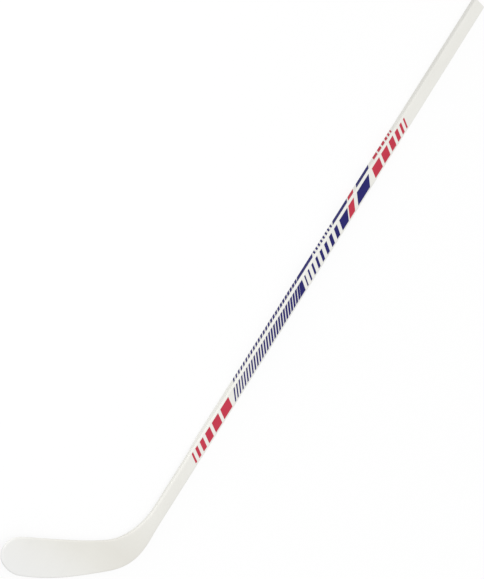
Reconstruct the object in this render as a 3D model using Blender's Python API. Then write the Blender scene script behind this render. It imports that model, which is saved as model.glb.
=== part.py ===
"""A wooden hockey stick: a laminated shaft, a bent blade on a tongue, and a fibreglass sock round the blade.

The stick is drawn about its shaft: X runs along the shaft from the heel to the butt end, Y points to the
blade's side and Z out of the front face. At the end it is moved as one to the middle of its footprint, where
it lies on its back on Z = 0.
"""

import math

import bmesh
import bpy
import numpy as np
from mathutils import Vector

MM = 0.001

# The shaft, and the layers that are glued up to make it, from the middle outwards
STICK_LENGTH = 1466 * MM
SHAFT_WIDTH = 30 * MM
SHAFT_EDGE_RADIUS = 4.5 * MM
CENTRE_PLY = 3.0 * MM
INNER_CORE_PLY = 2.6 * MM
OUTER_CORE_PLY = 2.6 * MM
FACE_PLY = 1.8 * MM
GLASS_FACING = 0.5 * MM
GLUE_LINE = 0.25 * MM
SHAFT_THICKNESS = CENTRE_PLY + 2 * (INNER_CORE_PLY + OUTER_CORE_PLY + FACE_PLY + GLASS_FACING + 4 * GLUE_LINE)

# The blade, in its own plane: "along" runs from the heel to the toe, "across" from the bottom to the top edge
LIE_ANGLE = math.radians(53.7)
TOE_ALONG = 285.5 * MM
TOE_ACROSS = 29.5 * MM
ROCKER_ALONG = 130 * MM
ROCKER_DEPTH = 27.8 * MM
ROCKER_HEEL_RADIUS = 1200 * MM
ROCKER_TOE_RADIUS = 445 * MM
TOE_BOTTOM_LENGTH = 39 * MM
TOE_TOP_LENGTH = 47.5 * MM
NECK_ALONG = 50 * MM
NECK_TOP = 37.9 * MM
TOP_EDGE_HANDLE = 60 * MM
TOP_EDGE_RISE = 28.7 * MM
TOP_EDGE_SLOPE = 0.15
BLADE_HEEL_THICKNESS = 10.0 * MM
BLADE_TOE_THICKNESS = 8.0 * MM
BLADE_EDGE_RADIUS = 3.4 * MM

# The heel, where the shaft turns into the blade
HEEL_START = 110 * MM
HEEL_CORNER = 80 * MM
HEEL_HANDLE = 40 * MM
HEEL_BLADE_HANDLE = 70 * MM
THROAT_HANDLE = 33 * MM
THROAT_BLADE_HANDLE = 44 * MM

# The bend that makes the front face hollow, deeper towards the bottom edge so that the face opens
BEND_START = 60 * MM
BEND_RADIUS = 1600 * MM
BEND_SKEW = math.radians(12)

# The hosel, which is planed thinner and narrower than the shaft before the sock goes on
TAPER_TOP = 290 * MM
SOCK_TOP = 230 * MM
HOSEL_THICKNESS = 14.5 * MM
HOSEL_OUTER_SIDE = 16 * MM
HOSEL_THROAT_SIDE = 13.4 * MM

# The fibreglass sock and the joint beneath it
SOCK_THICKNESS = 0.7 * MM
SOCK_STANDS_PROUD = 0.2 * MM
FIT_GAP = 0.3 * MM
WOOD_RELIEF = SOCK_THICKNESS + FIT_GAP - SOCK_STANDS_PROUD
TONGUE_TOP = 190 * MM
SCARF_MIDDLE = 62 * MM
SCARF_ANGLE = math.radians(27)

# How finely the curved stretches are cut
CORNER_STEPS = 3
CURVE_POINTS = 60
TAPER_STATIONS = 6
HOSEL_STATIONS = 5
HEEL_STATIONS = 20
BLADE_STATIONS = 14
TOE_STATIONS = 9
TOE_LAST_ANGLE = math.radians(84)
BEND_STEP = 14 * MM
SHARP_ANGLE = math.radians(35)

# The roundest that a section may be, as a share of its half size, and how near a cut may come to a surface
ROUNDEST = 0.94
NEAREST_CUT = 0.001 * MM

ALONG_BLADE = np.array([-math.cos(LIE_ANGLE), math.sin(LIE_ANGLE)])
ACROSS_BLADE = np.array([math.sin(LIE_ANGLE), math.cos(LIE_ANGLE)])
ALONG_BEND = math.cos(BEND_SKEW) * ALONG_BLADE - math.sin(BEND_SKEW) * ACROSS_BLADE


def curve(start, start_handle, end_handle, end):
    """Points on a cubic curve between two points, each with its handle."""
    t = np.linspace(0, 1, CURVE_POINTS)[:, None]
    points = [np.asarray(p, float) for p in (start, start_handle, end_handle, end)]
    weights = [(1 - t) ** 3, 3 * t * (1 - t) ** 2, 3 * t * t * (1 - t), t**3]
    return sum(weight * point for weight, point in zip(weights, points))


def spaced(path, count):
    """The path as this many points at even distances along it."""
    run = np.concatenate([[0], np.cumsum(np.linalg.norm(np.diff(path, axis=0), axis=1))])
    wanted = np.linspace(0, run[-1], count)
    return np.column_stack([np.interp(wanted, run, path[:, 0]), np.interp(wanted, run, path[:, 1])])


def shifted(path, inset, side):
    """The path moved sideways into the wood."""
    steps = np.gradient(path, axis=0)
    steps /= np.linalg.norm(steps, axis=1)[:, None]
    return path + side * inset * np.column_stack([-steps[:, 1], steps[:, 0]])


def in_blade(points):
    """Points of the stick as distances along and across the blade."""
    return np.column_stack([points @ ALONG_BLADE, points @ ACROSS_BLADE])


def from_blade(along, across):
    return np.column_stack([along, across]) @ np.array([ALONG_BLADE, ACROSS_BLADE])


def rocker(along):
    """The curved bottom edge that the blade rocks on."""
    radius = np.where(along > ROCKER_ALONG, ROCKER_TOE_RADIUS, ROCKER_HEEL_RADIUS)
    return (along - ROCKER_ALONG) ** 2 / (2 * radius) - ROCKER_DEPTH


def blade_edges():
    """The blade's bottom and top edges from the neck to the toe, where each ends in a quarter of an oval."""
    turn = np.sin(np.linspace(0, math.pi / 2, CURVE_POINTS))
    bottom_along = np.linspace(NECK_ALONG, TOE_ALONG - TOE_BOTTOM_LENGTH, CURVE_POINTS)[:-1]
    bottom_along = np.append(bottom_along, TOE_ALONG - TOE_BOTTOM_LENGTH * (1 - turn))
    round_part = np.clip((bottom_along - TOE_ALONG + TOE_BOTTOM_LENGTH) / TOE_BOTTOM_LENGTH, 0, 1)
    bottom = TOE_ACROSS - (TOE_ACROSS - rocker(bottom_along)) * np.sqrt(1 - round_part**2)

    rise_end = TOE_ALONG - TOE_TOP_LENGTH / 2
    top_curve = curve(
        (NECK_ALONG, NECK_TOP),
        (NECK_ALONG + TOP_EDGE_HANDLE, NECK_TOP),
        (rise_end - TOP_EDGE_HANDLE, NECK_TOP + TOP_EDGE_RISE - TOP_EDGE_SLOPE * TOP_EDGE_HANDLE),
        (rise_end, NECK_TOP + TOP_EDGE_RISE),
    )
    toe_along = TOE_ALONG - TOE_TOP_LENGTH * (1 - turn)
    straight = top_curve[top_curve[:, 0] < toe_along[0]]
    line = np.interp(toe_along, top_curve[:, 0], top_curve[:, 1])
    line = line + TOP_EDGE_SLOPE * np.maximum(0, toe_along - rise_end)
    toe_top = TOE_ACROSS + (line - TOE_ACROSS) * np.sqrt(np.clip(1 - turn**2, 0, 1))
    top_along = np.append(straight[:, 0], toe_along)
    top = np.append(straight[:, 1], toe_top)
    return from_blade(bottom_along, bottom), from_blade(top_along, top)


def between(start, end, share):
    return start + (end - start) * share


def eased(share):
    return share * share * (3 - 2 * share)


def heel_edges():
    """The outer curve of the heel and the inner curve of the throat, from the shaft to the blade's neck."""
    corner = np.array([HEEL_CORNER, -HOSEL_OUTER_SIDE])
    slope = (NECK_ALONG - ROCKER_ALONG) / ROCKER_HEEL_RADIUS
    back_to_heel = -ALONG_BLADE - slope * ACROSS_BLADE
    bottom_end = from_blade([NECK_ALONG], [rocker(NECK_ALONG)])[0]
    heel = curve(corner, corner - [HEEL_HANDLE, 0], bottom_end + HEEL_BLADE_HANDLE * back_to_heel, bottom_end)
    start = np.array([HEEL_START, HOSEL_THROAT_SIDE])
    top_end = from_blade([NECK_ALONG], [NECK_TOP])[0]
    throat_handles = start - [THROAT_HANDLE, 0], top_end - THROAT_BLADE_HANDLE * ALONG_BLADE
    throat = curve(start, *throat_handles, top_end)
    return np.vstack([[HEEL_START, -HOSEL_OUTER_SIDE], heel]), throat


def shaft_stations():
    """The shaft down to the sock's top edge, planed to the hosel's size over its last stretch."""
    places = [(STICK_LENGTH, 0)]
    for share in np.linspace(0, 1, TAPER_STATIONS):
        places.append((between(TAPER_TOP, SOCK_TOP, share), eased(share)))
    stations = []
    for x, planed in places:
        low = np.array([x, -between(SHAFT_WIDTH / 2, HOSEL_OUTER_SIDE, planed)])
        high = np.array([x, between(SHAFT_WIDTH / 2, HOSEL_THROAT_SIDE, planed)])
        half_thick = between(SHAFT_THICKNESS, HOSEL_THICKNESS, planed) / 2
        stations.append((low, high, half_thick, SHAFT_EDGE_RADIUS))
    return stations


def thickness_at(place):
    """The thickness below the sock's top edge: place is 0 there, 1 at the neck and 2 at the tip of the toe."""
    if place < 1:
        return between(HOSEL_THICKNESS, BLADE_HEEL_THICKNESS, place)
    return between(BLADE_HEEL_THICKNESS, BLADE_TOE_THICKNESS, place - 1)


def lower_stations(inset, top):
    """The stick below a given height: pairs of edge points, each with a half thickness and a corner radius."""
    pairs = []
    heel_length = HEEL_START + NECK_ALONG
    full_length = SOCK_TOP + NECK_ALONG
    for x in np.linspace(top, HEEL_START, HOSEL_STATIONS)[:-1]:
        low, high = (x, inset - HOSEL_OUTER_SIDE), (x, HOSEL_THROAT_SIDE - inset)
        pairs.append((low, high, (SOCK_TOP - x) / full_length))

    outer, throat = heel_edges()
    outer = spaced(shifted(outer, inset, -1), HEEL_STATIONS)
    throat = spaced(shifted(throat, inset, 1), HEEL_STATIONS)
    for step, (low, high) in enumerate(zip(outer, throat)):
        fallen = SOCK_TOP - HEEL_START + heel_length * step / (HEEL_STATIONS - 1)
        pairs.append((low, high, fallen / full_length))

    bottom, top_edge = blade_edges()
    bottom = in_blade(shifted(bottom, inset, -1))
    top_edge = in_blade(shifted(top_edge, inset, 1))
    tip = TOE_ALONG - inset
    turns = np.linspace(0, TOE_LAST_ANGLE, TOE_STATIONS + 1)
    toe = tip - TOE_BOTTOM_LENGTH * (1 - np.sin(turns))
    along = np.append(np.linspace(NECK_ALONG, toe[0], BLADE_STATIONS + 1)[1:-1], toe)
    low = from_blade(along, np.interp(along, bottom[:, 0], bottom[:, 1]))
    high = from_blade(along, np.interp(along, top_edge[:, 0], top_edge[:, 1]))
    for a, low_point, high_point in zip(along, low, high):
        pairs.append((low_point, high_point, 1 + (a - NECK_ALONG) / (TOE_ALONG - NECK_ALONG)))

    stations = []
    for low_point, high_point, place in pairs:
        half_thick = thickness_at(place) / 2 - inset
        left = tip - np.dot(np.add(low_point, high_point) / 2, ALONG_BLADE)
        if place > 1 and left < half_thick:
            half_thick *= math.sqrt(1 - (1 - left / half_thick) ** 2)
        radius = between(SHAFT_EDGE_RADIUS, BLADE_EDGE_RADIUS, min(place, 1)) - inset
        stations.append((np.array(low_point), np.array(high_point), half_thick, radius))
    return stations


def corner_points(low, high, half_thick, radius, first, last, corners):
    """Points round some corners of the section at one station, each corner between two of its own angles."""
    across = high - low
    width = np.linalg.norm(across)
    across = across / width
    middle = (low + high) / 2
    ring = []
    for side, up in corners:
        angles = np.linspace(first, last, CORNER_STEPS + 1)
        for angle in angles if side == up else angles[::-1]:
            x, y = middle + across * side * (width / 2 - radius + radius * math.cos(angle))
            ring.append((x, y, up * (half_thick - radius + radius * math.sin(angle))))
    return ring


def section(low, high, half_thick, radius, cover=0):
    """The rounded section at one station as a ring of points, less a cover on its front and back."""
    radius = min(radius, ROUNDEST * half_thick, ROUNDEST * np.linalg.norm(high - low) / 2)
    last = math.asin(1 - cover / radius)
    corners = (1, 1), (-1, 1), (-1, -1), (1, -1)
    return corner_points(low, high, half_thick, radius, 0, last, corners)


def facing_section(low, high, half_thick, radius, side):
    """The part of that section that a glass facing takes up on the front, or on the back where side is -1."""
    first = math.asin(1 - GLASS_FACING / radius)
    ring = corner_points(low, high, half_thick, radius, first, math.pi / 2, ((1, 1), (-1, 1)))
    return [(x, y, side * z) for x, y, z in ring]


def loft(bm, sections):
    """A skin through the sections, without its ends."""
    rings = [[bm.verts.new(point) for point in ring] for ring in sections]
    for ring, following in zip(rings, rings[1:]):
        for i in range(len(ring)):
            j = (i + 1) % len(ring)
            bm.faces.new((ring[i], ring[j], following[j], following[i]))
    return rings[0], rings[-1]


def close_ends(bm, first, last):
    bm.faces.new(first)
    bm.faces.new(last)
    bmesh.ops.recalc_face_normals(bm, faces=bm.faces)


def wooden_form():
    """All the wood as one solid, less the room for the facings and, below the sock's top edge, for the sock."""
    bm = bmesh.new()
    sections = [section(*station, cover=GLASS_FACING + GLUE_LINE) for station in shaft_stations()]
    sections += [section(*station) for station in lower_stations(WOOD_RELIEF, SOCK_TOP)]
    first, last = loft(bm, sections)
    close_ends(bm, first, last)
    return bm


def saw(bm, point, normal):
    """Cuts off what lies on the normal's side of a plane, and closes the cut."""
    geometry = bm.verts[:] + bm.edges[:] + bm.faces[:]
    bmesh.ops.bisect_plane(bm, geom=geometry, dist=1e-7, plane_co=point, plane_no=normal, clear_outer=True)
    bmesh.ops.edgeloop_fill(bm, edges=[edge for edge in bm.edges if edge.is_boundary])
    bmesh.ops.recalc_face_normals(bm, faces=bm.faces)


def layer(bottom, top):
    """One layer of the form, between two heights above its middle plane."""
    bm = wooden_form()
    highest = max(vertex.co.z for vertex in bm.verts) - NEAREST_CUT
    if bottom > -highest:
        saw(bm, (0, 0, bottom), (0, 0, -1))
    if top < highest:
        saw(bm, (0, 0, top), (0, 0, 1))
    return bm


def bend(bm):
    """Bends the blade forward, after it is crossed by enough lines to follow the curve."""
    direction = Vector((*ALONG_BEND, 0))
    furthest = max(vertex.co.dot(direction) for vertex in bm.verts)
    for step in range(int((furthest - BEND_START) / BEND_STEP) + 1):
        geometry = bm.verts[:] + bm.edges[:] + bm.faces[:]
        line = direction * (BEND_START + step * BEND_STEP)
        bmesh.ops.bisect_plane(bm, geom=geometry, dist=1e-7, plane_co=line, plane_no=direction)
    for vertex in bm.verts:
        past = max(0, vertex.co.dot(direction) - BEND_START)
        vertex.co.z += past * past / (2 * BEND_RADIUS)


def finish(name, bm, material):
    mesh = bpy.data.meshes.new(name)
    bmesh.ops.triangulate(bm, faces=[face for face in bm.faces if len(face.verts) > 4])
    bm.to_mesh(mesh)
    bm.free()
    mesh.shade_smooth()
    mesh.set_sharp_from_angle(angle=SHARP_ANGLE)
    mesh.materials.append(material)
    obj = bpy.data.objects.new(name, mesh)
    bpy.context.scene.collection.objects.link(obj)
    return obj


def finish_material(name, colour, roughness):
    material = bpy.data.materials.new(name)
    material.use_nodes = True
    shader = material.node_tree.nodes["Principled BSDF"]
    shader.inputs["Base Color"].default_value = (*colour, 1)
    shader.inputs["Roughness"].default_value = roughness
    shader.inputs["Metallic"].default_value = 0
    return material


def blade_shoulder(bm, keep_blade):
    """The scarf across the heel, where the shaft's inner layers stop and the blade's laminations begin."""
    to_shaft = Vector((math.cos(SCARF_ANGLE), -math.sin(SCARF_ANGLE), 0))
    point = Vector((SCARF_MIDDLE, 0, 0))
    if keep_blade:
        saw(bm, point - to_shaft * FIT_GAP / 2, to_shaft)
    else:
        saw(bm, point + to_shaft * FIT_GAP / 2, -to_shaft)


def make_centre_ply(birch):
    bm = layer(-CENTRE_PLY / 2, CENTRE_PLY / 2)
    saw(bm, (TONGUE_TOP + FIT_GAP, 0, 0), (-1, 0, 0))
    return [finish("centre_ply", bm, birch)]


def make_blade_core(ash):
    bm = layer(-CENTRE_PLY / 2, CENTRE_PLY / 2)
    saw(bm, (TONGUE_TOP, 0, 0), (1, 0, 0))
    bend(bm)
    return [finish("blade_core", bm, ash)]


def make_front_and_back(name, bottom, thickness, material, shape=None):
    """A layer on the front and its twin on the back, at the same height from the middle."""
    made = []
    for side, low in (("front", bottom), ("back", -bottom - thickness)):
        bm = layer(low, low + thickness)
        if shape:
            shape(bm)
        made.append(finish(f"{name}_{side}", bm, material))
    return made


def make_blade_lamination(bm):
    blade_shoulder(bm, keep_blade=True)
    bend(bm)


def make_fork(bm):
    blade_shoulder(bm, keep_blade=False)


def make_facings(glass):
    """The glass facings, which follow the planed stretch down to the sock."""
    made = []
    for name, side in (("glass_facing_front", 1), ("glass_facing_back", -1)):
        bm = bmesh.new()
        first, last = loft(bm, [facing_section(*station, side) for station in shaft_stations()])
        close_ends(bm, first, last)
        made.append(finish(name, bm, glass))
    return made


def make_sock(glass):
    """The sock: open at its top edge, where the shaft goes in, and closed round the toe."""
    bm = bmesh.new()
    rim = SOCK_TOP - FIT_GAP
    outside = [section(*station) for station in lower_stations(-SOCK_STANDS_PROUD, rim)]
    inside = [section(*station) for station in lower_stations(SOCK_THICKNESS - SOCK_STANDS_PROUD, rim)]
    first, last = loft(bm, inside[::-1] + outside)
    close_ends(bm, first, last)
    for vertex in bm.verts:
        past = max(0, vertex.co.dot(Vector((*ALONG_BEND, 0))) - BEND_START)
        vertex.co.z += past * past / (2 * BEND_RADIUS)
    return [finish("blade_sock", bm, glass)]


def lay_on_its_back(parts):
    """Moves the whole stick so that the middle of its footprint is the origin and its back lies on Z = 0."""
    corners = np.array([vertex.co for part in parts for vertex in part.data.vertices])
    low, high = corners.min(axis=0), corners.max(axis=0)
    for part in parts:
        part.location = (-(low[0] + high[0]) / 2, -(low[1] + high[1]) / 2, -low[2])


for old in list(bpy.data.objects):
    bpy.data.objects.remove(old)

birch = finish_material("birch", (0.72, 0.52, 0.30), 0.55)
aspen = finish_material("aspen", (0.80, 0.67, 0.46), 0.6)
ash = finish_material("ash", (0.74, 0.58, 0.36), 0.55)
glass = finish_material("painted_glass", (0.81, 0.81, 0.78), 0.35)

inner = CENTRE_PLY / 2 + GLUE_LINE
outer = inner + INNER_CORE_PLY + GLUE_LINE
face = outer + OUTER_CORE_PLY + GLUE_LINE

stick = make_centre_ply(birch)
stick += make_front_and_back("inner_core_ply", inner, INNER_CORE_PLY, aspen, make_fork)
stick += make_front_and_back("outer_core_ply", outer, OUTER_CORE_PLY, aspen, make_fork)
stick += make_front_and_back("face_ply", face, FACE_PLY, birch)
stick += make_facings(glass)
stick += make_blade_core(ash)
stick += make_front_and_back("blade_lamination", inner, face - inner, birch, make_blade_lamination)
stick += make_sock(glass)
lay_on_its_back(stick)
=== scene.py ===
"""A wooden ice hockey stick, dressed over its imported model. Sizes along the stick are in mm from the heel."""

import math

import bpy
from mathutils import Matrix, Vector


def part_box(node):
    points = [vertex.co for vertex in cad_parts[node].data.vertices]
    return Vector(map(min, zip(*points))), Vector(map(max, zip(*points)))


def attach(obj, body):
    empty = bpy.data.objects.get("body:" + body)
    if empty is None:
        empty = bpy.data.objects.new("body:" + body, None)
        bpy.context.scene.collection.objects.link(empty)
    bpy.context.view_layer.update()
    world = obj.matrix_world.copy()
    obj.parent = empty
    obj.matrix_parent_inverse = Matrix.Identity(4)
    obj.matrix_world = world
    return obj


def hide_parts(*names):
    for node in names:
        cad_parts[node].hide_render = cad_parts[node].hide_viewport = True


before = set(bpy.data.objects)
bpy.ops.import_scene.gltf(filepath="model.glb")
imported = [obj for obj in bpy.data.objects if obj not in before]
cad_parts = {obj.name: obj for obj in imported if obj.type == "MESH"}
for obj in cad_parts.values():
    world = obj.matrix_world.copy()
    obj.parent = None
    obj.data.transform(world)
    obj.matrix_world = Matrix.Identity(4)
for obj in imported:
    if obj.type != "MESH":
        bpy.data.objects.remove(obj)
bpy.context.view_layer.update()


# The shaft's wood: seven layers glued under pressure, hardwood in the middle and outside, light wood between.
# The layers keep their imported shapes. Only their sawn ends show, at the butt, as stripes of end grain.
MM = 0.001
HEEL = -0.653283  # the heel's place along the stick
AXIS = -0.118512  # the middle of the shaft's width
MIDDLE = 0.010  # the middle of the shaft's thickness
PLY = 2.85  # a layer of wood with its glue, in mm


class Wire:
    """A socket that feeds others in one material. Sums on wires add Math nodes."""

    def __init__(self, tree, socket=None):
        self.tree = tree
        self.socket = socket

    def node(self, kind, settings=None, sockets=None, output=0):
        """Adds a node with its settings, then its sockets' values or wires, and gives one of its outputs."""
        made = self.tree.nodes.new(kind)
        for name, value in (settings or {}).items():
            if name != "stops":
                setattr(made, name, value)
                continue
            for stop, (place, colour) in enumerate(value):
                held = made.color_ramp.elements
                element = held[stop] if stop < 2 else held.new(place)
                element.position = place
                element.color = (*colour, 1)
        for name, value in (sockets or {}).items():
            if isinstance(value, Wire):
                self.tree.links.new(made.inputs[name], value.socket)
            else:
                made.inputs[name].default_value = value
        return Wire(self.tree, made.outputs[output] if made.outputs else None)

    def maths(self, operation, first, second=0.0):
        return self.node("ShaderNodeMath", {"operation": operation}, {0: first, 1: second})

    def __add__(self, other):
        return self.maths("ADD", self, other)

    def __radd__(self, other):
        return self.maths("ADD", other, self)

    def __sub__(self, other):
        return self.maths("SUBTRACT", self, other)

    def __rsub__(self, other):
        return self.maths("SUBTRACT", other, self)

    def __mul__(self, other):
        return self.maths("MULTIPLY", self, other)

    def __rmul__(self, other):
        return self.maths("MULTIPLY", other, self)

    def __truediv__(self, other):
        return self.maths("DIVIDE", self, other)

    def __pow__(self, other):
        return self.maths("POWER", self, other)

    def __gt__(self, other):
        return self.maths("GREATER_THAN", self, other)

    def clamped(self):
        return self.maths("MAXIMUM", self.maths("MINIMUM", self, 1.0), 0.0)

    def noise(self, stretch, scale, detail=3.0, place=(0, 0, 0)):
        """Noise on the object's own coordinates, drawn out by a stretch of three factors."""
        own = self.node("ShaderNodeTexCoord", output="Object")
        drawn = self.node("ShaderNodeMapping", {}, {"Vector": own, "Location": place, "Scale": stretch})
        return self.node("ShaderNodeTexNoise", {}, {"Vector": drawn, "Scale": scale, "Detail": detail})

    def blend(self, mask, first, second):
        """One colour where the mask is 0 and another where it is 1."""
        # Sockets 0, 6 and 7 are the colour kind's factor and its two colours, and output 2 is its result.
        return self.node("ShaderNodeMix", {"data_type": "RGBA"}, {0: mask, 6: first, 7: second}, output=2)

    def own(self, axis):
        """The object's own X, Y or Z."""
        place = self.node("ShaderNodeTexCoord", output="Object")
        return self.node("ShaderNodeSeparateXYZ", {}, {"Vector": place}, output=axis)


def new_material(name):
    made = bpy.data.materials.new(name)
    made.use_nodes = True
    made.node_tree.nodes.clear()
    return made, Wire(made.node_tree)


def surface(wire, colour, roughness, height, depth, shine=0.5):
    """Ends a material: a shader with this colour, roughness and shine, and bumps of a depth in metres."""
    bump = wire.node("ShaderNodeBump", {}, {"Distance": depth, "Height": height})
    shader = wire.node(
        "ShaderNodeBsdfPrincipled",
        {},
        {"Base Color": colour, "Roughness": roughness, "Normal": bump, "Specular IOR Level": shine},
    )
    wire.node("ShaderNodeOutputMaterial", {}, {"Surface": shader})


def wood(name, early, late, pith, ring, pores):
    """Wood whose grain runs along X: growth rings round a pith, drawn-out fibres and pores."""
    made, wire = new_material(name)
    y, z = wire.own("Y"), wire.own("Z")
    wander = wire.noise((3, 60, 60), 1.0, 2.0)
    # The layers are counted from the centre ply, and the count changes in the glue between them.
    level = (z - MIDDLE) / (PLY * MM)
    board = wire.maths("FLOOR", wire.maths("ABSOLUTE", level) + 0.43) * wire.maths("SIGN", level)
    across = y - (AXIS + pith[0]) + wire.maths("SINE", board * 2.3) * 0.055
    up = z - (MIDDLE + pith[1]) + board * 0.0123
    radius = (across * across + up * up) ** 0.5 + (wander - 0.5) * 0.004
    ring_place = wire.maths("FRACT", radius / ring)
    ripe = ring_place ** 3
    fibres = wire.noise((40, 3200, 3200), 1.0, 2.0)
    pore = wire.noise((90, 5200, 5200), 1.0, 1.0, (3, 1, 2)) > pores
    patches = wire.noise((4, 30, 30), 1.0, 2.0, (7, 3, 5))
    shade = ripe * 0.75 + (fibres - 0.5) * 0.5 + (patches - 0.5) * 0.5
    colour = wire.node("ShaderNodeValToRGB", {"stops": [(0.0, early), (1.0, late)]}, {0: shade})
    dark = tuple(0.55 * part for part in late)
    coloured = wire.blend(pore * 0.6, colour, (*dark, 1))
    surface(wire, coloured, 0.62 + (fibres - 0.5) * 0.25, fibres - pore * 0.8, 0.00012)
    return made


birch = wood("birch", (0.72, 0.53, 0.31), (0.56, 0.37, 0.19), (0.045, -0.09), 0.0021, 0.69)
aspen = wood("aspen", (0.80, 0.68, 0.48), (0.67, 0.52, 0.33), (-0.06, -0.12), 0.0034, 0.72)
for node, grain in (
    ("centre_ply", birch),
    ("inner_core_ply_front", aspen),
    ("inner_core_ply_back", aspen),
    ("outer_core_ply_front", aspen),
    ("outer_core_ply_back", aspen),
    ("face_ply_front", birch),
    ("face_ply_back", birch),
):
    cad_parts[node].material_slots[0].material = grain


# The blade's wood: an ash core whose tongue is glued up into the fork, and a hardwood layer on each face.
# Both are planed to the blade's shape and bent while the glue is warm. The sock covers them.
ash = wood("ash", (0.74, 0.58, 0.37), (0.47, 0.31, 0.16), (0.03, -0.07), 0.0028, 0.66)
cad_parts["blade_core"].material_slots[0].material = ash
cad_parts["blade_lamination_front"].material_slots[0].material = birch
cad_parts["blade_lamination_back"].material_slots[0].material = birch


# The glue between the layers: thin sheets of hard, honey-coloured resin that the press squeezes outwards.
# Where the shaft is planed towards the blade they are cut with the wood.
BUTT = 1466.0
PLANED_FROM, PLANED_TO = 290.0, 230.0
TAPER_STOPS = [BUTT] + [PLANED_FROM - 12.0 * step for step in range(6)]
HALF_WIDTH, HALF_THICKNESS, EDGE_RADIUS = 15.0, 10.0, 4.5
CENTRE_GLUE, CORE_GLUE, FACE_GLUE, CLOTH_GLUE = 1.625, 4.475, 7.325, 9.375
GLUE_THICKNESS, GLUE_COVER, HOSEL_COVER = 0.2, 0.2, 1.2


def shaft_at(along):
    """The shaft's two sides and its half thickness there: full, planed by degrees, or inside the sock."""
    share = min(1.0, max(0.0, (PLANED_FROM - along) / (PLANED_FROM - PLANED_TO)))
    planed = share * share * (3 - 2 * share)
    thinned = max(0.0, PLANED_TO - along) / 280
    half_thickness = HALF_THICKNESS - 2.75 * planed - 2.25 * thinned
    return -HALF_WIDTH - planed, HALF_WIDTH - 1.6 * planed, half_thickness


def edit(piece):
    """Opens a piece in edit mode with nothing selected in it."""
    bpy.ops.object.select_all(action="DESELECT")
    bpy.context.view_layer.objects.active = piece
    piece.select_set(True)
    bpy.ops.object.mode_set(mode="EDIT")
    bpy.ops.mesh.select_all(action="DESELECT")


def pick(piece, wanted):
    """Selects those faces of an open piece that a test wants."""
    bpy.ops.mesh.select_mode(type="FACE")
    bpy.ops.mesh.select_all(action="DESELECT")
    bpy.ops.object.mode_set(mode="OBJECT")
    for face in piece.data.polygons:
        face.select = wanted(face)
    bpy.ops.object.mode_set(mode="EDIT")


def done(piece, name, finish):
    """Names a finished piece, puts its place into its mesh and lets it ride on the stick."""
    if bpy.context.object and bpy.context.object.mode == "EDIT":
        bpy.ops.object.mode_set(mode="OBJECT")
    bpy.ops.object.select_all(action="DESELECT")
    bpy.context.view_layer.objects.active = piece
    piece.select_set(True)
    bpy.ops.object.transform_apply(location=True, rotation=True, scale=True)
    piece.name = name
    piece.data.name = name
    piece.data.materials.clear()
    piece.data.materials.append(finish)
    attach(piece, "root")
    return piece


def joined(pieces):
    bpy.ops.object.select_all(action="DESELECT")
    for piece in pieces:
        piece.select_set(True)
    bpy.context.view_layer.objects.active = pieces[0]
    bpy.ops.object.join()
    return pieces[0]


def resin_material():
    made, wire = new_material("resin_glue")
    cloudy = wire.noise((120, 900, 900), 1.0)
    colour = wire.node(
        "ShaderNodeValToRGB",
        {"stops": [(0.3, (0.42, 0.27, 0.12)), (0.7, (0.60, 0.43, 0.22))]},
        {0: cloudy},
    )
    surface(wire, colour, 0.3 + cloudy * 0.2, cloudy, 0.00005)
    return made


resin = resin_material()


def layer_at(along, height, cover):
    """The two sides of the layer at a height above or below the middle, with a cover left outside it."""
    low, high, half = shaft_at(along)
    into_corner = max(0.0, abs(height) - (half - EDGE_RADIUS))
    rounded_off = EDGE_RADIUS - math.sqrt(EDGE_RADIUS**2 - into_corner**2)
    return low + rounded_off + cover, high - rounded_off - cover


def glue_sheet(height, stops):
    """A sheet drawn down from the butt from stop to stop, each with its cover, and narrowed with the wood."""
    bpy.ops.mesh.primitive_plane_add(size=1, rotation=(0, math.pi / 2, 0))
    sheet = bpy.context.object
    low, high = layer_at(BUTT, height, GLUE_COVER)
    reached = BUTT - GLUE_COVER
    sheet.location = (HEEL + reached * MM, AXIS + (low + high) / 2 * MM, MIDDLE + height * MM)
    sheet.scale = (GLUE_THICKNESS * MM, (high - low) * MM, 1)
    bpy.ops.object.transform_apply(location=True, rotation=True, scale=True)
    edit(sheet)
    bpy.ops.mesh.select_all(action="SELECT")
    for along, cover in stops:
        new_low, new_high = layer_at(along, height, cover)
        moved = (along - reached, (new_low + new_high - low - high) / 2, 0)
        bpy.ops.mesh.extrude_region_move(TRANSFORM_OT_translate={"value": [way * MM for way in moved]})
        bpy.ops.transform.resize(
            value=(1, (new_high - new_low) / (high - low), 1),
            center_override=(HEEL + along * MM, AXIS + (new_low + new_high) / 2 * MM, MIDDLE + height * MM),
        )
        reached, low, high = along, new_low, new_high
    bpy.ops.mesh.select_all(action="SELECT")
    bpy.ops.mesh.normals_make_consistent(inside=False)
    return sheet


to_the_sock = [(along, GLUE_COVER) for along in TAPER_STOPS[1:]]
under_the_sock = [(229.0, HOSEL_COVER), (112.0, HOSEL_COVER)]
for side, word in ((1, "front"), (-1, "back")):
    centre_glue = glue_sheet(side * CENTRE_GLUE, to_the_sock + under_the_sock)
    done(centre_glue, "glue_on_centre_ply_" + word, resin)
    core_glue = glue_sheet(side * CORE_GLUE, to_the_sock + under_the_sock)
    done(core_glue, "glue_between_core_plies_" + word, resin)
    face_glue = glue_sheet(side * FACE_GLUE, to_the_sock[:4])
    done(face_glue, "glue_under_face_ply_" + word, resin)
    cloth_glue = glue_sheet(side * CLOTH_GLUE, [(288.0, 0.4)])
    done(cloth_glue, "glue_under_facing_" + word, resin)


# The glass facings: one layer of woven glass in resin on each wide face, which makes the shaft stiff.
# They run over the planed stretch down to the sock. They show at the butt, as a greenish white line.
FACING_INSET, FACING_DEPTH = 0.14, 0.5


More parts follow.
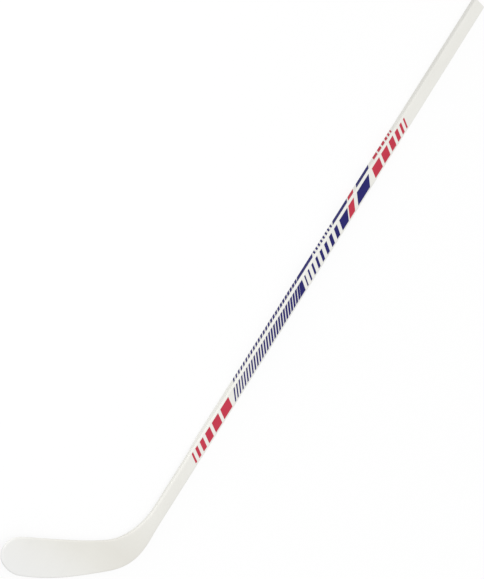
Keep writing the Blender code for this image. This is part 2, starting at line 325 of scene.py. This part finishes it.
def rounded_section(along, side_inset, face_inset, radius):
    """The shaft's section there as a flat face: a plane at its size whose corners are rounded."""
    low, high, half = shaft_at(along)
    bpy.ops.mesh.primitive_plane_add(size=1, rotation=(math.pi / 2, 0, math.pi / 2))
    section = bpy.context.object
    section.location = (HEEL + along * MM, AXIS + (low + high) / 2 * MM, MIDDLE)
    section.scale = ((high - low - 2 * side_inset) * MM, 2 * (half - face_inset) * MM, 1)
    bpy.ops.object.transform_apply(location=True, rotation=True, scale=True)
    edit(section)
    bpy.ops.mesh.select_all(action="SELECT")
    bpy.ops.mesh.bevel(affect="VERTICES", offset=radius * MM, offset_type="OFFSET", segments=8, profile=0.5)
    bpy.ops.mesh.select_all(action="SELECT")
    return section


def glass_material():
    made, wire = new_material("glass_facing")
    threads = 3900.0
    warp = wire.maths("SINE", wire.own("X") * threads)
    weft = wire.maths("SINE", wire.own("Y") * threads)
    weave = warp * weft
    cloudy = wire.noise((30, 300, 300), 1.0)
    colour = wire.node(
        "ShaderNodeValToRGB",
        {"stops": [(0.2, (0.60, 0.63, 0.52)), (0.8, (0.74, 0.76, 0.66))]},
        {0: cloudy + weave * 0.08},
    )
    surface(wire, colour, 0.35 + cloudy * 0.15, weave, 0.00004)
    return made


glass = glass_material()
for side, word in ((1, "front"), (-1, "back")):
    strips = []
    for along in TAPER_STOPS:
        section = rounded_section(along, FACING_INSET, FACING_INSET, EDGE_RADIUS - FACING_INSET)
        bpy.ops.mesh.bisect(
            plane_co=(0, 0, MIDDLE + side * (shaft_at(along)[2] - FACING_DEPTH) * MM),
            plane_no=(0, 0, side),
            clear_inner=True,
            threshold=1e-7,
        )
        bpy.ops.mesh.select_all(action="SELECT")
        bpy.ops.mesh.delete(type="ONLY_FACE")
        bpy.ops.object.mode_set(mode="OBJECT")
        strips.append(section)
    facing = joined(strips)
    edit(facing)
    bpy.ops.mesh.select_all(action="SELECT")
    bpy.ops.mesh.bridge_edge_loops()
    bpy.ops.mesh.select_all(action="SELECT")
    bpy.ops.mesh.fill_holes(sides=0)
    bpy.ops.mesh.select_all(action="SELECT")
    bpy.ops.mesh.normals_make_consistent(inside=False)
    done(facing, "shaft_facing_" + word, glass)
    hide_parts("glass_facing_" + word)


# The sock: a sleeve of woven glass in resin, pulled over the blade, heel and hosel and painted with the rest.
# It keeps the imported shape, made finer: its long edges stay tight while its corners and toe become round.
def paint_tone_with_painted_dip_shade(wire, relief):
    """Satin white paint: cloudy over a hand's breadth, with a trace of painted shade where what is below it
    dips.
    """
    cloudy = wire.noise((7, 26, 26), 1.0, 2.0)
    return wire.node(
        "ShaderNodeValToRGB",
        {"stops": [(0.25, (0.792, 0.784, 0.737)), (0.75, (0.852, 0.846, 0.800))]},
        {0: cloudy * 0.6 + relief * 0.4},
    )


def sock_material():
    """The sleeve's weave shows through the paint as a small diamond relief, with painted shade in its dips. The
    heel's colour is darker and warmer as painted shade, and the toe's lighter and cooler as painted light.
    """
    made, wire = new_material("painted_sock")
    x, y = wire.own("X"), wire.own("Y")
    peel = wire.noise((210, 210, 210), 1.0, 3.0)
    threads = 1750.0
    warp = wire.maths("SINE", (x + y) * threads)
    weft = wire.maths("SINE", (x - y) * threads)
    filled = wire.noise((45, 45, 45), 1.0, 2.0, (1, 2, 3))
    weave = warp * weft * (0.10 + filled * 0.30)
    relief = 0.5 + (peel - 0.5) * 0.7 + weave
    # The relief also darkens the colour in the weave's dips: painted shade.
    shade = paint_tone_with_painted_dip_shade(wire, relief)
    # Painted shade: the colour round the heel is darker and warmer.
    heel = (1.0 - wire.maths("ABSOLUTE", x - (HEEL - 0.010)) / 0.10).clamped()
    shade = wire.blend(heel * 0.8, shade, (0.748, 0.732, 0.676, 1))
    # Painted light: the colour towards the toe is lighter and cooler.
    toe = ((HEEL - 0.05 - x) / 0.10).clamped()
    shade = wire.blend(toe * 0.8, shade, (0.846, 0.848, 0.842, 1))
    surface(wire, shade, 0.34 + peel * 0.16, relief, 0.00012, 0.4)
    return made


sock_paint = sock_material()
sock_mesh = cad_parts["blade_sock"].data.copy()
sock = bpy.data.objects.new("painted_blade_sock", sock_mesh)
bpy.context.collection.objects.link(sock)
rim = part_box("blade_sock")[1][0]
edit(sock)
bpy.ops.mesh.select_all(action="SELECT")
bpy.ops.mesh.remove_doubles(threshold=1e-6)
bpy.ops.mesh.tris_convert_to_quads(face_threshold=math.radians(60), shape_threshold=math.radians(60))
bpy.ops.mesh.select_all(action="SELECT")
bpy.ops.mesh.bisect(plane_co=(rim - 1.2 * MM, 0, 0), plane_no=(1, 0, 0), threshold=1e-7)
for facing_way in (1, -1):
    pick(sock, lambda face: face.normal.z * facing_way > 0.95)
    bpy.ops.mesh.inset(thickness=1.2 * MM, use_even_offset=True, use_boundary=True)
pick(sock, lambda face: face.normal.x > 0.9 and face.center.x > rim - 0.1 * MM)
bpy.ops.mesh.region_to_loop()
bpy.ops.transform.edge_crease(value=0.8)
bpy.ops.object.mode_set(mode="OBJECT")
bpy.ops.object.modifier_add(type="SUBSURF")
sock.modifiers[-1].levels = 2
sock.modifiers[-1].render_levels = 2
bpy.ops.object.modifier_apply(modifier=sock.modifiers[-1].name)
bpy.ops.object.shade_smooth()
done(sock, "painted_blade_sock", sock_paint)
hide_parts("blade_sock")


# The shaft's paint: a white lacquer sprayed round facings and wood alike, from the butt down to the sock.
# It is a thin skin over the layers, and the sawn butt end is left bare.
def paint_ring(along):
    """The painted shaft's outline there: its sides just outside the wood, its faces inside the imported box."""
    ring = rounded_section(along, -0.05, 0.065, 4.3)
    bpy.ops.mesh.delete(type="ONLY_FACE")
    bpy.ops.object.mode_set(mode="OBJECT")
    return ring


def shaft_material():
    """The paint sinks a little into the wood's pores, and on the narrow sides into the glue lines. Painted
    shade darkens its colour where it sinks.
    """
    made, wire = new_material("painted_shaft")
    peel = wire.noise((210, 210, 210), 1.0, 3.0)
    grain = wire.noise((22, 800, 800), 1.0, 2.0)
    height = wire.maths("ABSOLUTE", wire.own("Z") - MIDDLE) / MM
    sunk = 0.0
    for glue in (CENTRE_GLUE, CORE_GLUE, FACE_GLUE):
        sunk = sunk + (1.0 - wire.maths("ABSOLUTE", height - glue) / 0.22).clamped()
    relief = 0.5 + (peel - 0.5) * 0.6 + (grain - 0.5) * 0.9 - sunk * 0.35
    # The relief also darkens the paint's colour in its dips and glue lines: painted shade.
    surface(wire, paint_tone_with_painted_dip_shade(wire, relief), 0.34 + peel * 0.16, relief, 0.00007, 0.4)
    return made


shaft_paint = shaft_material()
paint = joined([paint_ring(along) for along in TAPER_STOPS + [228.5]])
edit(paint)
bpy.ops.mesh.select_all(action="SELECT")
bpy.ops.mesh.bridge_edge_loops()
bpy.ops.mesh.select_all(action="SELECT")
bpy.ops.mesh.normals_make_consistent(inside=False)
bpy.ops.object.mode_set(mode="OBJECT")
bare_skin = paint.data.copy()
bpy.ops.object.modifier_add(type="SOLIDIFY")
paint.modifiers[-1].thickness = 0.045 * MM
paint.modifiers[-1].offset = -1
bpy.ops.object.modifier_apply(modifier=paint.modifiers[-1].name)
bpy.ops.object.shade_smooth_by_angle(angle=math.radians(35))
bpy.ops.object.modifier_add(type="WEIGHTED_NORMAL")
paint.modifiers[-1].keep_sharp = True
paint.modifiers[-1].weight = 90
bpy.ops.object.modifier_apply(modifier=paint.modifiers[-1].name)
done(paint, "shaft_paint", shaft_paint)


# The print on the wide faces: navy and red inks, screened on the white paint as crisp leaning bars.
# A hatch of thin bars thickens from the heel upwards, and solid panels follow it.
def ink(name, pale, full):
    """Printing ink: full colour with faint mottling, a little glossier than the paint."""
    made, wire = new_material(name)
    mottle = wire.noise((500, 500, 500), 1.0, 3.0)
    broad = wire.noise((30, 60, 60), 1.0, 2.0)
    colour = wire.node(
        "ShaderNodeValToRGB", {"stops": [(0.25, full), (0.75, pale)]}, {0: mottle * 0.5 + broad * 0.5}
    )
    surface(wire, colour, 0.38 + mottle * 0.14, mottle, 0.00003, 0.08)
    return made


navy = ink("navy_ink", (0.028, 0.025, 0.165), (0.018, 0.016, 0.125))
red = ink("red_ink", (0.58, 0.050, 0.086), (0.51, 0.036, 0.066))


def cut(place, way, **side):
    bpy.ops.mesh.select_all(action="SELECT")
    bpy.ops.mesh.bisect(plane_co=place, plane_no=way, threshold=1e-7, **side)


WIDE_PRINT_EDGES = (-10.5, 10.2)


def wide_bar(start, end, lean=1.17, end_lean=None):
    """A bar across the front face, cut out of a copy of the paint.

    Its ends lean by so many mm along the shaft in each mm across it.
    """
    bar = bpy.data.objects.new("bar", bare_skin.copy())
    bpy.context.collection.objects.link(bar)
    edit(bar)
    pick(bar, lambda face: face.normal.z < 0.99)
    bpy.ops.mesh.delete(type="FACE")
    end_lean = lean if end_lean is None else end_lean
    cut((HEEL + start * MM, AXIS, 0), (1, -lean, 0), clear_inner=True)
    cut((HEEL + end * MM, AXIS, 0), (1, -end_lean, 0), clear_outer=True)
    cut((0, AXIS + WIDE_PRINT_EDGES[0] * MM, 0), (0, 1, 0), clear_inner=True)
    cut((0, AXIS + WIDE_PRINT_EDGES[1] * MM, 0), (0, 1, 0), clear_outer=True)
    bpy.ops.object.mode_set(mode="OBJECT")
    return bar


def raised(bars):
    """Joins bars into one print and gives the ink its thickness, sunk a little into the paint."""
    printed = joined(bars)
    bpy.ops.object.modifier_add(type="SOLIDIFY")
    printed.modifiers[-1].thickness = 0.07 * MM
    printed.modifiers[-1].offset = 0.7
    bpy.ops.object.modifier_apply(modifier=printed.modifiers[-1].name)
    return printed


def turned_over(printed, name, finish):
    """The same print on the opposite side: a copy turned half round the shaft."""
    other = bpy.data.objects.new(name, printed.data.copy())
    bpy.context.collection.objects.link(other)
    edit(other)
    bpy.ops.mesh.select_all(action="SELECT")
    bpy.ops.transform.rotate(
        value=math.pi, orient_axis="X", center_override=(0, AXIS, MIDDLE), orient_type="GLOBAL"
    )
    done(other, name, finish)


def hatched(bar, first, pitch, count, thinnest, growth, lean):
    """Evenly spaced bars that widen up the shaft, by growth, from thinnest: both are shares of the pitch."""
    row = []
    for step in range(count):
        middle = first + pitch * step
        half_width = pitch * (thinnest + growth * step / (count - 1)) / 2
        row.append(bar(middle - half_width, middle + half_width, lean))
    return row


def in_a_row(bar, start, widths, gap, lean, way=1):
    """Bars of these widths with a gap between them, up the shaft from start, or down it where way is -1."""
    row = []
    for width in widths:
        end = start + way * width
        row.append(bar(min(start, end), max(start, end), lean))
        start += way * (width + gap)
    return row


RED_WIDTHS = (32.0, 25.0, 18.0, 12.0, 8.0, 5.0)
hatch = hatched(wide_bar, 397.4, 10.08, 27, 0.45, 0.31, 1.2)
navy_panels = [
    wide_bar(664.0, 679.9, 1.2, 0.58),
    wide_bar(838.0, 868.5, 0.58, 1.22),
    wide_bar(909.6, 960.9),
]
navy_panels += in_a_row(wide_bar, 689.0, (4.0, 5.2, 6.4, 7.6, 8.8, 10.0, 11.2, 12.4), 10.4, 0.58)
red_panels = [wide_bar(872.7, 895.8)]
red_panels += in_a_row(wide_bar, 980.0, RED_WIDTHS, 8.5, 0.5)
red_panels += in_a_row(wide_bar, 379.0, RED_WIDTHS, 8.5, 0.5, way=-1)

front_hatch = done(raised(hatch), "print_front_hatch", navy)
front_navy = done(raised(navy_panels), "print_front_navy", navy)
front_red = done(raised(red_panels), "print_front_red", red)
turned_over(front_hatch, "print_back_hatch", navy)
turned_over(front_navy, "print_back_navy", navy)
turned_over(front_red, "print_back_red", red)


# The print on the narrow sides: the same inks in the same order, a little nearer the butt, leaning back.
NARROW_PRINT_EDGES = (-7.2, 5.8)


def narrow_bar(start, end, lean=-0.87):
    """A bar up the narrow side that faces the way the blade points, cut out of a copy of the paint."""
    bar = bpy.data.objects.new("bar", bare_skin.copy())
    bpy.context.collection.objects.link(bar)
    edit(bar)
    pick(bar, lambda face: face.normal.y < 0.6)
    bpy.ops.mesh.delete(type="FACE")
    cut((HEEL + start * MM, 0, MIDDLE), (1, 0, -lean), clear_inner=True)
    cut((HEEL + end * MM, 0, MIDDLE), (1, 0, -lean), clear_outer=True)
    cut((0, 0, MIDDLE + NARROW_PRINT_EDGES[0] * MM), (0, 0, 1), clear_inner=True)
    cut((0, 0, MIDDLE + NARROW_PRINT_EDGES[1] * MM), (0, 0, 1), clear_outer=True)
    bpy.ops.object.mode_set(mode="OBJECT")
    return bar


side_hatch = hatched(narrow_bar, 422.6, 10.13, 26, 0.48, 0.28, -0.7)
side_navy = [narrow_bar(681.9, 746.2), narrow_bar(832.3, 893.9), narrow_bar(933.7, 987.2)]
side_navy += in_a_row(narrow_bar, 752.0, [5.0] * 8, 5.0, -0.4)
side_red = [narrow_bar(898.1, 920.6)]
side_red += in_a_row(narrow_bar, 1008.7, (16.0, 13.0, 10.0, 7.5, 5.5, 4.0), 4.5, -0.5)

toe_hatch = done(raised(side_hatch), "print_toe_side_hatch", navy)
toe_navy = done(raised(side_navy), "print_toe_side_navy", navy)
toe_red = done(raised(side_red), "print_toe_side_red", red)
turned_over(toe_hatch, "print_heel_side_hatch", navy)
turned_over(toe_navy, "print_heel_side_navy", navy)
turned_over(toe_red, "print_heel_side_red", red)


# The floor: a plain white sheet that the stick lies on. It keeps a soft trace of the stick's shadow.
# It is white to look at, and throws back little more than half of the light that falls on it.
def looked_at(wire):
    """1 for rays that show what they hit, straight on, in a gloss or through glass, and 0 for other light."""
    camera_ray = wire.node("ShaderNodeLightPath", output="Is Camera Ray")
    glossy_ray = wire.node("ShaderNodeLightPath", output="Is Glossy Ray")
    clear_ray = wire.node("ShaderNodeLightPath", output="Is Transmission Ray")
    return wire.maths("MINIMUM", camera_ray + glossy_ray + clear_ray, 1.0)


bpy.ops.mesh.primitive_plane_add(size=1)
floor = bpy.context.object
floor.name = "floor"
floor.scale = (80, 80, 1)
floor.location = (0, 0, -0.0002)
sheet_white, wire = new_material("white_floor")
showing = looked_at(wire)
sheet_colour = wire.blend(showing, (0.6, 0.6, 0.6, 1), (0.99, 0.99, 0.99, 1))
matte = wire.node("ShaderNodeBsdfDiffuse", {}, {"Color": sheet_colour})
shining = wire.node("ShaderNodeEmission", {}, {"Color": (1, 1, 1, 1), "Strength": 1.0})
mixed = wire.node("ShaderNodeMixShader", {}, {0: showing * 0.87, 1: matte, 2: shining})
wire.node("ShaderNodeOutputMaterial", {}, {"Surface": mixed})
floor.data.materials.append(sheet_white)


# The light: an even white room, one wide soft lamp overhead, and a small one low on the blade's side.
# The low one brightens the narrow side towards the hosel and the blade's upper edge, as in the photo.
world = bpy.data.worlds.new("studio")
bpy.context.scene.world = world
world.use_nodes = True
world.node_tree.nodes.clear()
wire = Wire(world.node_tree)
showing = looked_at(wire)
room = wire.node("ShaderNodeBackground", {}, {"Color": (1, 1, 1, 1), "Strength": 0.87})
seen = wire.node("ShaderNodeBackground", {}, {"Color": (1, 1, 1, 1), "Strength": 1.0})
mixed = wire.node("ShaderNodeMixShader", {}, {0: showing, 1: room, 2: seen})
wire.node("ShaderNodeOutputWorld", {}, {"Surface": mixed})


def soft_lamp(place, aim, size, energy):
    """A round lamp at a place in metres, turned to a point that it lights."""
    bpy.ops.object.light_add(type="AREA", location=place)
    lamp = bpy.context.object
    lamp.rotation_euler = (Vector(aim) - Vector(place)).to_track_quat("-Z", "Y").to_euler()
    lamp.data.shape = "DISK"
    lamp.data.size = size
    lamp.data.energy = energy


soft_lamp((0.1, -0.3, 5.8), (0.1, -0.3, 0), 3.0, 35)
soft_lamp((-0.25, 1.25, 0.22), (-0.5, -0.1, 0), 0.5, 5.0)


# The camera: where the photograph was taken from, above the front face and beyond the toe.
bpy.ops.object.camera_add(
    location=(-0.92728, 1.40178, 2.89559),
    rotation=(math.radians(-2.66277), math.radians(-29.64499), math.radians(-53.19363)),
)
camera = bpy.context.object
camera.data.sensor_fit = "HORIZONTAL"
camera.data.sensor_width = 36
camera.data.lens = 117.68
bpy.context.scene.camera = camera
bpy.context.scene.view_settings.view_transform = "Standard"
